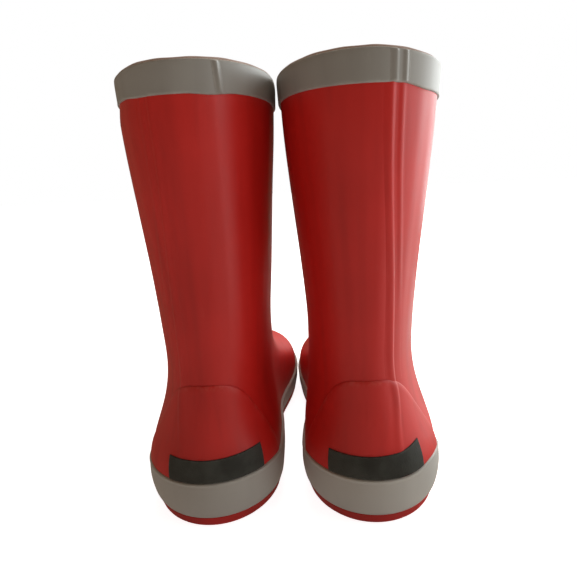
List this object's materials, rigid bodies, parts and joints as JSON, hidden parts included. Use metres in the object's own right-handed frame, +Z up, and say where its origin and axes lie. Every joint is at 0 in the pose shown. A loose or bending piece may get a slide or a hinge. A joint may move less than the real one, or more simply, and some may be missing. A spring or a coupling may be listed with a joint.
{
  "type": "deck boots",
  "caption": "Pair of short rubber deck boots with grey collars and foxing, a heel patch, knit lining, siped outsoles and loose footbeds",
  "frame": {"origin": "on the floor, under the middle of the pair's bounding box", "axes": "+X from the left boot to the right one, +Y towards the toes, +Z up"},
  "size_m": [0.196, 0.2969, 0.2644],
  "materials": {
    "red_rubber": "satin natural rubber",
    "grey_rubber": "satin natural rubber",
    "patch_rubber": "matt, lightly textured",
    "outsole_rubber": "matt, moulded",
    "lining_knit": "brushed cotton knit",
    "footbed_knit": "brushed knit over foam",
    "sponge": "closed-cell sponge",
    "board": "pressed fibre board",
    "shank_steel": "plain strip"
  },
  "bodies": {
    "left_foot": {"left_outsole": "outsole_rubber", "left_midsole": "sponge", "left_shank": "shank_steel", "left_insole_board": "board", "left_galosh": "red_rubber", "left_ankle_panel": "red_rubber", "left_lining": "lining_knit", "left_heel_counter": "red_rubber", "left_toe_guard": "grey_rubber", "left_foxing": "grey_rubber", "left_heel_patch": "patch_rubber"},
    "left_leg": {"left_leg_shell": "red_rubber", "left_back_strip": "red_rubber", "left_collar_band": "grey_rubber", "left_collar_lap": "grey_rubber"},
    "left_footbed": {"left_footbed": "footbed_knit"},
    "right_foot": {"right_outsole": "outsole_rubber", "right_midsole": "sponge", "right_shank": "shank_steel", "right_insole_board": "board", "right_galosh": "red_rubber", "right_ankle_panel": "red_rubber", "right_lining": "lining_knit", "right_heel_counter": "red_rubber", "right_toe_guard": "grey_rubber", "right_foxing": "grey_rubber", "right_heel_patch": "patch_rubber"},
    "right_leg": {"right_leg_shell": "red_rubber", "right_back_strip": "red_rubber", "right_collar_band": "grey_rubber", "right_collar_lap": "grey_rubber"},
    "right_footbed": {"right_footbed": "footbed_knit"}
  },
  "joints": [
    {"name": "boots_apart", "type": "slide", "parent": "left_foot", "child": "right_foot", "axis": [1, 0, 0], "range_m": [0, 0.15]},
    {"name": "left_ankle_flex", "type": "hinge", "parent": "left_foot", "child": "left_leg", "pos_m": [-0.0513, -0.07825, 0.104], "axis": [-1, 0, 0], "range_deg": [-8, 15], "stiffness_Nm_per_rad": 4, "deforming": ["left_ankle_panel", "left_lining", "left_back_strip"]},
    {"name": "left_footbed_lift", "type": "hinge", "parent": "left_foot", "child": "left_footbed", "pos_m": [-0.0513, 0.13745, 0.0109], "axis": [-1, 0, 0], "range_deg": [0, 6]},
    {"name": "right_ankle_flex", "type": "hinge", "parent": "right_foot", "child": "right_leg", "pos_m": [0.0513, -0.07825, 0.104], "axis": [-1, 0, 0], "range_deg": [-8, 15], "stiffness_Nm_per_rad": 4, "deforming": ["right_ankle_panel", "right_lining", "right_back_strip"]},
    {"name": "right_footbed_lift", "type": "hinge", "parent": "right_foot", "child": "right_footbed", "pos_m": [0.0513, 0.13745, 0.0109], "axis": [-1, 0, 0], "range_deg": [0, 6]}
  ]
}
